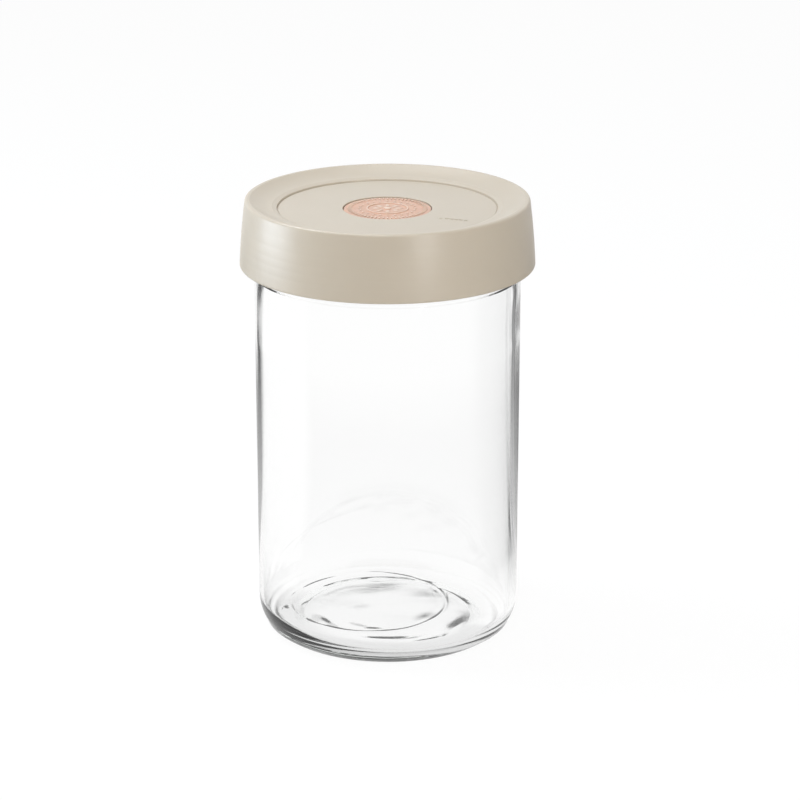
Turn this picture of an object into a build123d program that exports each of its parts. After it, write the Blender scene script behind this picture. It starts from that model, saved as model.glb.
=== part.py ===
from build123d import *
import math
import os

os.makedirs("parts", exist_ok=True)

# Wide-mouth glass pickling jar with a one-piece screw lid, a flat silicone lid seal and a silicone vent valve.
# Millimetres, +Z up. The origin is the centre of the ring that the jar stands on, and the front faces -Y.

# Glass jar, driving sizes
mouth_radius = 51.0
glass_wall = 3.15
floor_height = 7.5
floor_crown = 0.4
floor_fillet = 6.0
clear_depth = 160.0
heel_height = 13.4
heel_width = 11.3
bearing_width = 3.4
bearing_round = 1.0
punt_ramp = 4.5
punt_lip_height = 1.6
punt_crown = 1.6
neck_step = 0.4
shoulder_rise = 1.0
shoulder_round = 0.6
rim_round = 0.9

# Screw thread shared by the glass and the lid, driving sizes
thread_starts = 2
thread_lead = 9.0
thread_turn_share = 0.58
thread_lead_in = 3.6
thread_height = 1.7
thread_root_width = 2.6
thread_crest_width = 1.0
thread_gap = 0.45
thread_flank_gap = 0.25
thread_bury = 0.6
thread_runout_share = 0.2
thread_sections = 18
ridge_root_width = 2.2
ridge_crest_width = 0.9

# Lid seal, driving sizes
seal_thickness = 2.5
seal_overlap_in = 1.1
seal_overlap_out = 0.9
seal_round = 0.4
seal_side_gap = 0.3

# Screw lid, driving sizes
plug_depth = 5.5
plug_wall = 1.8
plug_round = 0.5
seat_drop = 2.0
panel_thickness = 2.2
crest_height = 4.3
crest_width = 1.9
crest_round = 1.0
crest_inner_round = 0.6
slope_width = 9.0
slope_sag = 0.55
crease_height = 1.2
ledge_width = 2.2
ledge_fall = 0.6
step_width = 0.25
skirt_height = 27.2
skirt_wall = 3.0
skirt_lean = 2.5
skirt_bow = 0.3
skirt_foot_round = 0.7
bore_draft = 1.1
shoulder_gap = 3.1

# Vent valve and its pocket in the lid, driving sizes
valve_radius = 17.7
valve_edge_round = 0.3
valve_recess = 0.25
valve_disc_thickness = 1.9
valve_lip_height = 0.4
valve_lip_width = 0.9
valve_lip_inset = 1.2
valve_stem_radius = 2.9
valve_bulb_radius = 4.3
valve_bulb_height = 4.0
valve_bulb_tip_radius = 1.8
valve_bulb_brim = 0.9
valve_travel = 1.5
valve_stop_gap = 0.3
pocket_gap = 0.3
pocket_web = 1.8
boss_wall = 2.2
stem_gap = 0.3
vent_count = 6
vent_radius = 1.5
vent_circle_radius = 9.5

# Raised pattern on the valve: a band of ticks, a ring of beads, a thin ring and a plain rosette
relief_height = 0.25
tick_count = 60
tick_length = 1.7
tick_width = 0.5
tick_inset = 1.5
bead_count = 24
bead_radius = 0.55
bead_circle_radius = 11.3
ring_radius = 8.2
ring_width = 0.5
petal_count = 8
petal_length = 3.4
petal_width = 1.9
petal_circle_radius = 4.5
rosette_core_radius = 1.4

# Plain raised mark on the panel, a dot and a row of bars at the front right
mark_radius = 27.2
mark_angle = -33.0
mark_dot_radius = 0.9
mark_bar_count = 6
mark_bar_length = 1.1
mark_bar_width = 0.6
mark_bar_pitch = 1.9
mark_height = 0.2

# Heights worked out from the sizes above
plug_foot_z = floor_height + clear_depth
rim_z = plug_foot_z + plug_depth
seat_z = rim_z + seal_thickness
panel_under_z = seat_z + seat_drop
panel_z = panel_under_z + panel_thickness
crest_z = panel_z + crest_height
crease_z = panel_z + crease_height
skirt_foot_z = crest_z - skirt_height
body_top_z = skirt_foot_z - shoulder_gap
neck_foot_z = body_top_z + shoulder_rise
valve_top_z = panel_z - valve_recess
valve_disc_under_z = valve_top_z - valve_disc_thickness
pocket_floor_z = valve_disc_under_z - valve_lip_height
boss_under_z = pocket_floor_z - pocket_web
bulb_top_z = boss_under_z - valve_travel - valve_stop_gap
bulb_brim_z = bulb_top_z - valve_bulb_brim
bulb_foot_z = bulb_top_z - valve_bulb_height

# Radii worked out from the sizes above
body_radius = mouth_radius + glass_wall
neck_radius = body_radius - neck_step
foot_outer_radius = body_radius - heel_width
foot_inner_radius = foot_outer_radius - bearing_width
punt_radius = foot_inner_radius - punt_ramp
floor_flat_radius = mouth_radius - floor_fillet
floor_edge_z = floor_height - floor_crown
seal_inner_radius = mouth_radius - seal_overlap_in
seal_outer_radius = neck_radius + seal_overlap_out
plug_outer_radius = seal_inner_radius - seal_side_gap
plug_inner_radius = plug_outer_radius - plug_wall
collar_radius = seal_outer_radius + seal_side_gap
thread_crest_radius = neck_radius + thread_height
bore_top_radius = thread_crest_radius + thread_gap
bore_foot_radius = bore_top_radius + bore_draft
bore_top_z = rim_z - (bore_top_radius - collar_radius)
ridge_crest_radius = neck_radius + thread_gap
skirt_foot_radius = bore_foot_radius + skirt_wall
crest_outer_radius = skirt_foot_radius - skirt_lean
crest_inner_radius = crest_outer_radius - crest_width
crease_radius = crest_inner_radius - slope_width
panel_radius = crease_radius - ledge_width
pocket_radius = valve_radius + pocket_gap
boss_radius = pocket_radius + boss_wall
stem_bore_radius = valve_stem_radius + stem_gap

# Thread geometry worked out from the sizes above
thread_sweep = 360 * thread_turn_share
thread_top_z = rim_z - thread_lead_in
ridge_drop = (thread_root_width + ridge_crest_width) / 2 + thread_flank_gap
start_angles = [360 * index / thread_starts for index in range(thread_starts)]


def bowed(start, end, bow):
    """An arc from start to end whose middle stands bow to the left of the straight line."""
    across = Vector(*end) - Vector(*start)
    left = Vector(-across.Y, across.X).normalized()
    middle = (Vector(*start) + Vector(*end)) / 2 + left * bow
    return ThreePointArc(start, middle, end)


def dome(edge_radius, edge_z, crown_z):
    """An arc on a sphere centred on the Z axis, from its edge up to its crown on the axis."""
    rise = crown_z - edge_z
    sphere_radius = (edge_radius**2 + rise**2) / (2 * rise)
    middle_radius = edge_radius / 2
    middle_z = crown_z - sphere_radius + math.sqrt(sphere_radius**2 - middle_radius**2)
    return ThreePointArc((edge_radius, edge_z), (middle_radius, middle_z), (0, crown_z))


def bore_radius(z):
    """The lid's drafted bore at this height."""
    return bore_top_radius + bore_draft * (bore_top_z - z) / (bore_top_z - skirt_foot_z)


def runout(share):
    """Rises from 0 at either end of a thread to 1 along its middle."""
    from_end = min(share, 1 - share) / thread_runout_share
    return math.sin(min(from_end, 1) * math.pi / 2) ** 2


def thread_profiles(start_angle, top_z, root_radius_at, crest_radius, root_width, crest_width):
    """Sections of one thread, from its lower end to its upper end, each in a plane through the Z axis."""
    sections = []
    for index in range(thread_sections + 1):
        share = index / thread_sections
        angle = start_angle - thread_sweep * (1 - share)
        z = top_z - thread_lead * (thread_sweep * (1 - share)) / 360
        outward = math.copysign(1, crest_radius - root_radius_at(z))
        root = root_radius_at(z) - outward * thread_bury
        hidden_crest = root_radius_at(z) - outward * thread_bury / 2
        crest = hidden_crest + (crest_radius - hidden_crest) * runout(share)
        cosine = math.cos(math.radians(angle))
        sine = math.sin(math.radians(angle))
        plane = Plane(origin=(0, 0, 0), x_dir=(cosine, sine, 0), z_dir=(sine, -cosine, 0))
        with BuildSketch(plane, mode=Mode.PRIVATE) as section:
            with BuildLine():
                Polyline(
                    (root, z - root_width / 2),
                    (crest, z - crest_width / 2),
                    (crest, z + crest_width / 2),
                    (root, z + root_width / 2),
                    close=True,
                )
            make_face()
        sections.append(section.sketch.face())
    return sections


# Jar, pressed soda-lime glass: thick base with a push-up, straight wall, low shoulder and threaded neck
with BuildPart() as glass_jar:
    with BuildSketch(Plane.XZ):
        with BuildLine():
            dome(floor_flat_radius, floor_edge_z, floor_height)
            CenterArc((floor_flat_radius, floor_edge_z + floor_fillet), floor_fillet, -90, 90)
            FilletPolyline(
                (mouth_radius, floor_edge_z + floor_fillet),
                (mouth_radius, rim_z),
                (neck_radius, rim_z),
                (neck_radius, neck_foot_z),
                (body_radius, body_top_z),
                (body_radius, heel_height),
                radius=[rim_round, rim_round, shoulder_round, shoulder_round],
            )
            EllipticalCenterArc(
                (foot_outer_radius, heel_height), heel_width, heel_height, start_angle=-90, arc_size=90
            )
            FilletPolyline(
                (foot_outer_radius, 0),
                (foot_inner_radius, 0),
                (punt_radius, punt_lip_height),
                radius=[bearing_round],
            )
            dome(punt_radius, punt_lip_height, punt_lip_height + punt_crown)
            Line((0, punt_lip_height + punt_crown), (0, floor_height))
        make_face()
    revolve(axis=Axis.Z)
    for start_angle in start_angles:
        loft(
            thread_profiles(
                start_angle,
                thread_top_z,
                lambda z: neck_radius,
                thread_crest_radius,
                thread_root_width,
                thread_crest_width,
            )
        )
glass_jar.part.label = "glass_jar"
export_step(glass_jar.part, "parts/glass_jar.step")

# Lid seal, a flat silicone ring between the glass rim and the lid's seat
with BuildPart() as lid_seal:
    with BuildSketch(Plane.XZ):
        with BuildLine():
            FilletPolyline(
                (seal_inner_radius, rim_z),
                (seal_outer_radius, rim_z),
                (seal_outer_radius, seat_z),
                (seal_inner_radius, seat_z),
                radius=seal_round,
                close=True,
            )
        make_face()
    revolve(axis=Axis.Z)
lid_seal.part.label = "lid_seal"
export_step(lid_seal.part, "parts/lid_seal.step")

# Lid, moulded polypropylene: raised crest, sloped inner wall, flat panel with the valve pocket,
# plug ring that dips into the mouth, seat for the seal and a skirt with thread ridges inside
with BuildPart() as lid:
    with BuildSketch(Plane.XZ) as lid_profile:
        with BuildLine():
            bowed((crease_radius, crease_z), (crest_inner_radius, crest_z), -slope_sag)
            Line((crest_inner_radius, crest_z), (crest_outer_radius, crest_z))
            bowed((crest_outer_radius, crest_z), (skirt_foot_radius, skirt_foot_z), skirt_bow)
            Polyline(
                (skirt_foot_radius, skirt_foot_z),
                (bore_foot_radius, skirt_foot_z),
                (bore_top_radius, bore_top_z),
                (collar_radius, rim_z),
                (collar_radius, seat_z),
                (plug_outer_radius, seat_z),
                (plug_outer_radius, plug_foot_z),
                (plug_inner_radius, plug_foot_z),
                (plug_inner_radius, panel_under_z),
                (boss_radius, panel_under_z),
                (boss_radius, boss_under_z),
                (stem_bore_radius, boss_under_z),
                (stem_bore_radius, pocket_floor_z),
                (pocket_radius, pocket_floor_z),
                (pocket_radius, panel_z),
                (panel_radius, panel_z),
                (panel_radius + step_width, crease_z - ledge_fall),
                (crease_radius, crease_z),
            )
        make_face()
        foot_corners = lid_profile.vertices().group_by(Axis.Y)[0]
        crest_corners = lid_profile.vertices().group_by(Axis.Y)[-1].sort_by(Axis.X)
        plug_corners = lid_profile.vertices().filter_by_position(
            Axis.Y, plug_foot_z, plug_foot_z
        )
        fillet(foot_corners, skirt_foot_round)
        fillet(crest_corners[-1], crest_round)
        fillet(crest_corners[0], crest_inner_round)
        fillet(plug_corners, plug_round)
    revolve(axis=Axis.Z)
    with BuildSketch(Plane.XY.offset(pocket_floor_z)):
        with PolarLocations(vent_circle_radius, vent_count):
            Circle(vent_radius)
    extrude(amount=-pocket_web, mode=Mode.SUBTRACT)
    with BuildSketch(Plane.XY.offset(panel_z)):
        with Locations((
            mark_radius * math.cos(math.radians(mark_angle)),
            mark_radius * math.sin(math.radians(mark_angle)),
        )):
            Circle(mark_dot_radius)
            with Locations((mark_dot_radius + mark_bar_pitch * mark_bar_count / 2, 0)):
                with GridLocations(mark_bar_pitch, 0, mark_bar_count, 1):
                    Rectangle(mark_bar_length, mark_bar_width)
    extrude(amount=mark_height)
    for start_angle in start_angles:
        loft(
            thread_profiles(
                start_angle,
                thread_top_z - ridge_drop,
                bore_radius,
                ridge_crest_radius,
                ridge_root_width,
                ridge_crest_width,
            )
        )
lid.part.label = "lid"
export_step(lid.part, "parts/lid.step")

# Vent valve, moulded silicone: disc with a sealing lip underneath, stem through the lid and bulb that keeps it in
with BuildPart() as vent_valve:
    lip_outer_radius = valve_radius - valve_lip_inset
    lip_inner_radius = lip_outer_radius - valve_lip_width
    with BuildSketch(Plane.XZ) as valve_profile:
        with BuildLine():
            Polyline(
                (0, valve_top_z),
                (valve_radius, valve_top_z),
                (valve_radius, valve_disc_under_z),
                (lip_outer_radius, valve_disc_under_z),
                (lip_outer_radius, pocket_floor_z),
                (lip_inner_radius, pocket_floor_z),
                (lip_inner_radius, valve_disc_under_z),
                (valve_stem_radius, valve_disc_under_z),
                (valve_stem_radius, bulb_top_z),
                (valve_bulb_radius, bulb_top_z),
                (valve_bulb_radius, bulb_brim_z),
                (valve_bulb_tip_radius, bulb_foot_z),
                (0, bulb_foot_z),
                close=True,
            )
        make_face()
        edge_corners = valve_profile.vertices().group_by(Axis.X)[-1]
        fillet(edge_corners, valve_edge_round)
    revolve(axis=Axis.Z)
    with BuildSketch(Plane.XY.offset(valve_top_z)):
        with PolarLocations(valve_radius - tick_inset - tick_length / 2, tick_count):
            Rectangle(tick_length, tick_width)
        with PolarLocations(bead_circle_radius, bead_count):
            Circle(bead_radius)
        Circle(ring_radius + ring_width / 2)
        Circle(ring_radius - ring_width / 2, mode=Mode.SUBTRACT)
        with PolarLocations(petal_circle_radius, petal_count):
            Ellipse(petal_length / 2, petal_width / 2)
        Circle(rosette_core_radius)
    extrude(amount=relief_height)
vent_valve.part.label = "vent_valve"
export_step(vent_valve.part, "parts/vent_valve.step")
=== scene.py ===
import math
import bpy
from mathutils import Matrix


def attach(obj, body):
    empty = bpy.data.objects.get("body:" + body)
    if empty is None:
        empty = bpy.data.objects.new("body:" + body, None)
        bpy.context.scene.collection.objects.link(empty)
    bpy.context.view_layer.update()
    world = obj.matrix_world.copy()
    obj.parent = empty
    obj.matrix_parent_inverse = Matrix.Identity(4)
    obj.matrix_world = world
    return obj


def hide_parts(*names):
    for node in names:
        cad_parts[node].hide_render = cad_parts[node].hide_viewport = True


bl_info = {
    "name": "Glass Pickling Jar",
    "version": (1, 0, 0),
    "blender": (4, 5, 0),
    "location": "3D Viewport > Sidebar > Pickling Jar",
    "description": "Builds a clear glass pickling jar with a vented screw lid around its packed frame",
    "category": "Object",
}

import bmesh
import bpy
from bpy.props import FloatProperty, FloatVectorProperty, IntProperty, PointerProperty, StringProperty
from bpy.types import Node, Operator, Panel, PropertyGroup
from mathutils import Matrix, Vector, noise

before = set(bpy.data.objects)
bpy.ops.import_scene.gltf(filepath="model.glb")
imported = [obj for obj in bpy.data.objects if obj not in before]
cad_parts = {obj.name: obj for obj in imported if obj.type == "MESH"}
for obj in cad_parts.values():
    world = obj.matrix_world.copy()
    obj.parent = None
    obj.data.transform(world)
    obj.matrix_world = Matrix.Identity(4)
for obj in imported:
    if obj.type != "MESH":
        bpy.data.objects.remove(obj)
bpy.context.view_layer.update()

MM = 0.001


# Sizes and colours that a user would change

class GlassSettings(PropertyGroup):
    """Sizes of the pressed glass jar."""

    mouth_radius: FloatProperty(
        name="Mouth radius", description="Inside of the glass", default=0.051, unit="LENGTH"
    )
    body_radius: FloatProperty(
        name="Body radius", description="Outside of the straight wall", default=0.05415, unit="LENGTH"
    )
    neck_radius: FloatProperty(
        name="Neck radius", description="Outside of the neck under the thread", default=0.05375, unit="LENGTH"
    )
    rim_height: FloatProperty(name="Rim height", description="Top of the glass", default=0.173, unit="LENGTH")
    shoulder_height: FloatProperty(
        name="Shoulder height", description="Top of the straight wall", default=0.1531, unit="LENGTH"
    )
    neck_foot_height: FloatProperty(
        name="Neck foot height", description="Foot of the straight neck", default=0.1537, unit="LENGTH"
    )
    body_bore: FloatProperty(
        name="Body bore", description="Inner radius of the wall below the neck", default=0.0516, unit="LENGTH"
    )
    floor_height: FloatProperty(
        name="Floor height", description="Middle of the floor inside", default=0.0055, unit="LENGTH"
    )
    floor_crown: FloatProperty(
        name="Floor crown", description="Rise of the floor to its middle", default=0.0004, unit="LENGTH"
    )
    floor_turn: FloatProperty(
        name="Floor turn", description="Width and height of the slope between floor and wall",
        default=0.0045, unit="LENGTH"
    )
    floor_tilt: FloatProperty(
        name="Floor tilt", description="Rise of the floor to the left, where more glass settled", default=0.02
    )
    heel_height: FloatProperty(
        name="Heel height", description="Height of the rounded heel", default=0.0134, unit="LENGTH"
    )
    heel_width: FloatProperty(
        name="Heel width", description="Width of the rounded heel", default=0.0113, unit="LENGTH"
    )
    foot_radius: FloatProperty(
        name="Foot radius", description="Inner edge of the ring it stands on", default=0.03945, unit="LENGTH"
    )
    punt_radius: FloatProperty(
        name="Push-up radius", description="Edge of the hollow underneath", default=0.03495, unit="LENGTH"
    )
    punt_lip: FloatProperty(
        name="Push-up lip", description="Height of the hollow's edge", default=0.0011, unit="LENGTH"
    )
    punt_crown: FloatProperty(
        name="Push-up crown", description="Rise of the hollow to its middle", default=0.001, unit="LENGTH"
    )
    wall_drift: FloatProperty(
        name="Wall drift", description="How far the inside sits off the middle", default=0.0006, unit="LENGTH"
    )
    ring_depth: FloatProperty(
        name="Mould ring depth", description="Depth of the ring that the mould leaves underneath",
        default=0.0003, unit="LENGTH"
    )
    chill_depth: FloatProperty(
        name="Chill mark depth", description="Depth of the uneven patches underneath",
        default=0.00045, unit="LENGTH"
    )
    chill_haze: FloatProperty(
        name="Chill haze", description="Roughness of the haziest patches underneath",
        default=0.15, subtype="FACTOR"
    )
    waviness: FloatProperty(
        name="Waviness", description="Depth of the slow waves in the inner wall",
        default=0.0001, unit="LENGTH"
    )
    colour: StringProperty(
        name="Glass tint", description="Colour that thick glass takes, as sRGB hex", default="DDE3DF"
    )


class LidSettings(PropertyGroup):
    """Sizes and colour of the moulded lid."""

    foot_radius: FloatProperty(
        name="Skirt foot radius", description="Outside of the skirt at its foot", default=0.06, unit="LENGTH"
    )
    foot_height: FloatProperty(
        name="Skirt foot height", description="Lower edge of the skirt", default=0.1568, unit="LENGTH"
    )
    crest_radius: FloatProperty(
        name="Crest radius", description="Outer edge of the raised crest", default=0.0575, unit="LENGTH"
    )
    crest_height: FloatProperty(
        name="Crest height", description="Top of the raised crest", default=0.184, unit="LENGTH"
    )
    panel_radius: FloatProperty(
        name="Panel radius", description="Edge of the flat panel", default=0.0444, unit="LENGTH"
    )
    panel_height: FloatProperty(
        name="Panel height", description="Top of the flat panel", default=0.1797, unit="LENGTH"
    )
    sink_depth: FloatProperty(
        name="Sink band depth", description="Depth of the faint bands on the skirt",
        default=0.000022, unit="LENGTH"
    )
    colour: StringProperty(
        name="Lid colour", description="Beige of the plastic, as sRGB hex", default="BCB09E"
    )


class SealSettings(PropertyGroup):
    """Sizes and colour of the flat seal."""

    inner_radius: FloatProperty(
        name="Inner radius", description="Inside of the ring", default=0.0499, unit="LENGTH"
    )
    outer_radius: FloatProperty(
        name="Outer radius", description="Outside of the ring", default=0.05465, unit="LENGTH"
    )
    thickness: FloatProperty(
        name="Thickness", description="Height of the ring", default=0.0025, unit="LENGTH"
    )
    colour: StringProperty(name="Seal colour", description="Milky silicone, as sRGB hex", default="ECEBE6")


class ValveSettings(PropertyGroup):
    """Sizes and colour of the vent valve."""

    radius: FloatProperty(
        name="Disc radius", description="Outside of the disc", default=0.0177, unit="LENGTH"
    )
    top_height: FloatProperty(
        name="Disc top height", description="Top of the disc between its raised marks",
        default=0.1793, unit="LENGTH"
    )
    relief: FloatProperty(
        name="Relief height", description="Height of the raised marks", default=0.0004, unit="LENGTH"
    )
    tick_count: IntProperty(name="Ticks", description="Number of ticks round the edge", default=60)
    bead_count: IntProperty(name="Beads", description="Number of beads in the ring", default=24)
    petal_count: IntProperty(name="Petals", description="Number of petals in the rosette", default=8)
    colour: StringProperty(name="Valve colour", description="Peach silicone, as sRGB hex", default="C9A28C")
    # Colour of the painted highlight on the tops of the raised marks
    mark_highlight_colour: StringProperty(
        name="Mark colour", description="Tops of the raised marks, rubbed paler, as sRGB hex",
        default="D9BFAC"
    )


class StageSettings(PropertyGroup):
    """Camera, light and floor."""

    camera_location: FloatVectorProperty(
        name="Camera location",
        description="Place the photograph is seen from",
        default=(0.0, -1.09891, 0.46824),
        subtype="TRANSLATION",
    )
    camera_pitch: FloatProperty(
        name="Camera pitch", description="How far the camera looks down", default=0.3251, subtype="ANGLE"
    )
    camera_yaw: FloatProperty(
        name="Camera yaw", description="How far the camera looks to the right",
        default=0.0046, subtype="ANGLE"
    )
    camera_lens: FloatProperty(
        name="Camera lens", description="Focal length in millimetres", default=126.48, unit="CAMERA"
    )
    floor_radius: FloatProperty(
        name="Floor radius", description="Size of the pale floor", default=1.5, unit="LENGTH"
    )
    floor_colour: StringProperty(
        name="Floor colour", description="Paint of the board, as sRGB hex", default="EDECE9"
    )
    ambient: FloatProperty(
        name="Ambient light", description="Strength of the even light from all round",
        default=0.25, subtype="FACTOR"
    )
    key_power: FloatProperty(
        name="Key power", description="Power of the softbox high at the left", default=8.0, unit="POWER"
    )
    glint_power: FloatProperty(
        name="Glint power", description="Power of the low softbox that lights the skirt's left",
        default=4.8, unit="POWER"
    )
    key_colour: StringProperty(
        name="Key colour", description="Cool daylight of the softboxes at the left, as sRGB hex",
        default="E6F2FF"
    )
    strip_power: FloatProperty(
        name="Strip power", description="Power of the narrow strip at the front right",
        default=4.0, unit="POWER"
    )
    top_power: FloatProperty(
        name="Top power", description="Power of the lamp overhead", default=6.9, unit="POWER"
    )
    top_colour: StringProperty(
        name="Top colour", description="Cool daylight of the lamp overhead, as sRGB hex", default="F2F7FF"
    )
    front_power: FloatProperty(
        name="Front power", description="Power of the lamp above the camera", default=4.2, unit="POWER"
    )


# Materials

def linear(code):
    """Turns an sRGB hex colour to linear light, with an alpha of 1."""
    shares = [int(code[place : place + 2], 16) / 255 for place in (0, 2, 4)]
    return [share / 12.92 if share <= 0.04045 else ((share + 0.055) / 1.055) ** 2.4 for share in shares] + [1]


def add_node(tree, kind, values=None, links=None, stops=(), **settings):
    """Adds a node. Settings are its own, values plain sockets, and links what feeds its sockets: an output,
    or a node, which stands for its first output. Stops are a ramp's places, each with a colour or a level of
    grey."""
    node = tree.nodes.new(kind)
    for name, setting in settings.items():
        setattr(node, name, setting)
    for socket, value in (values or {}).items():
        node.inputs[socket].default_value = value
    for socket, source in (links or {}).items():
        tree.links.new(source.outputs[0] if isinstance(source, Node) else source, node.inputs[socket])
    while stops and len(node.color_ramp.elements) < len(stops):
        node.color_ramp.elements.new(1.0)
    for index, (place, colour) in enumerate(stops):
        element = node.color_ramp.elements[index]
        element.position = place
        element.color = colour if isinstance(colour, tuple) else (colour, colour, colour, 1)
    return node


def new_tree(owner):
    """Empties the owner's node tree and returns it."""
    owner.use_nodes = True
    owner.node_tree.nodes.clear()
    return owner.node_tree


def shade_of(code, share):
    """A share of the colour given as sRGB hex, which makes it darker or lighter."""
    return (*(Vector(linear(code)[:3]) * share), 1)


def soda_lime_glass(settings):
    """Pressed soda-lime glass: clear and hard, with a faint grey-green tint where it is thick, and a haze
    underneath, in patches, where it met the cold mould."""
    haze_foot = 1.8 * MM
    haze_top = 2.6 * MM
    patch_size = 22 * MM
    material = bpy.data.materials.new("pressed_soda_lime_glass")
    tree = new_tree(material)
    place = add_node(tree, "ShaderNodeTexCoord").outputs["Object"]
    height = add_node(tree, "ShaderNodeSeparateXYZ", links={"Vector": place}).outputs["Z"]
    lowest = add_node(
        tree, "ShaderNodeMapRange", {"From Min": haze_top, "From Max": haze_foot}, {"Value": height}
    )
    cloud = add_node(tree, "ShaderNodeTexNoise", {"Scale": 1 / patch_size, "Detail": 2.0}, {"Vector": place})
    haze = add_node(
        tree,
        "ShaderNodeMapRange",
        {"From Min": 0.42, "From Max": 0.62, "To Max": settings.chill_haze},
        {"Value": cloud},
    )
    gloss = add_node(tree, "ShaderNodeMath", links={0: lowest, 1: haze}, operation="MULTIPLY")
    shader = add_node(
        tree,
        "ShaderNodeBsdfPrincipled",
        {"Base Color": (1, 1, 1, 1), "Transmission Weight": 1.0, "IOR": 1.52},
        {"Roughness": gloss},
    )
    tint = add_node(tree, "ShaderNodeVolumeAbsorption", {"Color": linear(settings.colour), "Density": 8.0})
    add_node(tree, "ShaderNodeOutputMaterial", links={"Surface": shader, "Volume": tint})
    return material


def moulded_polypropylene(settings):
    """Injection-moulded polypropylene: satin and slightly cloudy in colour, with a fine spark-eroded grain
    that softens its highlights. A little light goes in and softens its edges too."""
    cloud_size = 16.7 * MM
    # The real grain is too fine to show, so it is drawn coarser
    grain_size = 0.4 * MM
    grain_depth = 0.04 * MM
    light_depth = (2.5 * MM, 2.0 * MM, 1.5 * MM)
    material = bpy.data.materials.new("satin_moulded_polypropylene")
    tree = new_tree(material)
    place = add_node(tree, "ShaderNodeTexCoord").outputs["Object"]
    cloud = add_node(tree, "ShaderNodeTexNoise", {"Scale": 1 / cloud_size, "Detail": 2.0}, {"Vector": place})
    stops = ((0.0, shade_of(settings.colour, 0.97)), (1.0, shade_of(settings.colour, 1.03)))
    shade = add_node(tree, "ShaderNodeValToRGB", links={"Fac": cloud}, stops=stops)
    grain = add_node(tree, "ShaderNodeTexNoise", {"Scale": 1 / grain_size, "Detail": 3.0}, {"Vector": place})
    gloss = add_node(tree, "ShaderNodeMapRange", {"To Min": 0.3, "To Max": 0.4}, {"Value": grain})
    bump = add_node(tree, "ShaderNodeBump", {"Strength": 0.12, "Distance": grain_depth}, {"Height": grain})
    shader = add_node(
        tree,
        "ShaderNodeBsdfPrincipled",
        {"IOR": 1.49, "Subsurface Weight": 0.12, "Subsurface Radius": light_depth, "Subsurface Scale": 1.0},
        {"Base Color": shade, "Roughness": gloss, "Normal": bump},
    )
    add_node(tree, "ShaderNodeOutputMaterial", links={"Surface": shader})
    return material


def silicone(name, code, grain_size, roughness, subsurface, painted_highlight=None):
    """Moulded silicone rubber: soft sheen, light that goes a little way in, and a fine matt grain. The real
    grain is too fine to show, so it is drawn coarser. The last argument gives the heights between which the
    raised marks are painted paler, a painted highlight on their tops, and the colour of that highlight."""
    cloud_size = 4.55 * MM
    grain_depth = 0.05 * MM
    light_depth = (3.0 * MM, 2.0 * MM, 1.5 * MM)
    material = bpy.data.materials.new(name)
    tree = new_tree(material)
    place = add_node(tree, "ShaderNodeTexCoord").outputs["Object"]
    cloud = add_node(tree, "ShaderNodeTexNoise", {"Scale": 1 / cloud_size, "Detail": 3.0}, {"Vector": place})
    stops = ((0.3, shade_of(code, 0.94)), (0.7, shade_of(code, 1.05)))
    colour = add_node(tree, "ShaderNodeValToRGB", links={"Fac": cloud}, stops=stops)
    # Painted highlight: the raised marks are painted paler towards their tops, between the two heights given
    if painted_highlight:
        foot, crown, pale = painted_highlight
        height = add_node(tree, "ShaderNodeSeparateXYZ", links={"Vector": place}).outputs["Z"]
        reach = add_node(tree, "ShaderNodeMapRange", {"From Min": foot, "From Max": crown}, {"Value": height})
        mix = add_node(tree, "ShaderNodeMix", {7: linear(pale)}, {0: reach, 6: colour}, data_type="RGBA")
        colour = mix.outputs[2]
    grain = add_node(tree, "ShaderNodeTexNoise", {"Scale": 1 / grain_size, "Detail": 2.0}, {"Vector": place})
    gloss = add_node(
        tree, "ShaderNodeMapRange", {"To Min": roughness - 0.06, "To Max": roughness + 0.06}, {"Value": grain}
    )
    bump = add_node(tree, "ShaderNodeBump", {"Strength": 0.2, "Distance": grain_depth}, {"Height": grain})
    shader = add_node(
        tree,
        "ShaderNodeBsdfPrincipled",
        {
            "IOR": 1.41,
            "Subsurface Weight": subsurface,
            "Subsurface Radius": light_depth,
            "Subsurface Scale": 1.0,
        },
        {"Base Color": colour, "Roughness": gloss, "Normal": bump},
    )
    add_node(tree, "ShaderNodeOutputMaterial", links={"Surface": shader})
    return material


# Meshes

def outline_mesh(corners, arc_step):
    """A wire outline from (radius, height, rounding) corners, closed where it doesn't start on the axis. Arc
    step is the most that one segment of a rounding turns, in degrees."""
    mesh = bmesh.new()
    places = [Vector((radius, 0, height)) for radius, height, rounding in corners]
    verts = [mesh.verts.new(place) for place in places]
    closed = places[0].x > 0
    for index in range(len(verts) - (not closed)):
        mesh.edges.new((verts[index], verts[(index + 1) % len(verts)]))
    for index, (radius, height, rounding) in enumerate(corners):
        if not rounding:
            continue
        before = places[index - 1] - places[index]
        after = places[(index + 1) % len(places)] - places[index]
        opening = before.angle(after)
        bmesh.ops.bevel(
            mesh,
            geom=[verts[index]],
            offset=rounding / math.tan(opening / 2),
            offset_type="OFFSET",
            affect="VERTICES",
            segments=max(2, math.ceil(math.degrees(math.pi - opening) / arc_step)),
            profile=0.5,
            material=-1,
        )
    return mesh


def divide(mesh, pitch_at):
    """Cuts each edge so that no part is longer than the pitch wanted at its middle."""
    for edge in list(mesh.edges):
        middle = (edge.verts[0].co + edge.verts[1].co) / 2
        cuts = math.ceil(edge.calc_length() / pitch_at(middle)) - 1
        if cuts > 0:
            bmesh.ops.subdivide_edges(mesh, edges=[edge], cuts=cuts)


def revolve(mesh, steps):
    """Spins the outline round the Z axis to a closed shell with its faces outwards."""
    bmesh.ops.spin(
        mesh,
        geom=mesh.verts[:] + mesh.edges[:],
        cent=(0, 0, 0),
        axis=(0, 0, 1),
        dvec=(0, 0, 0),
        angle=math.tau,
        steps=steps,
        use_merge=True,
    )
    bmesh.ops.remove_doubles(mesh, verts=mesh.verts[:], dist=0.001 * MM)
    bmesh.ops.recalc_face_normals(mesh, faces=mesh.faces[:])


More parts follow.
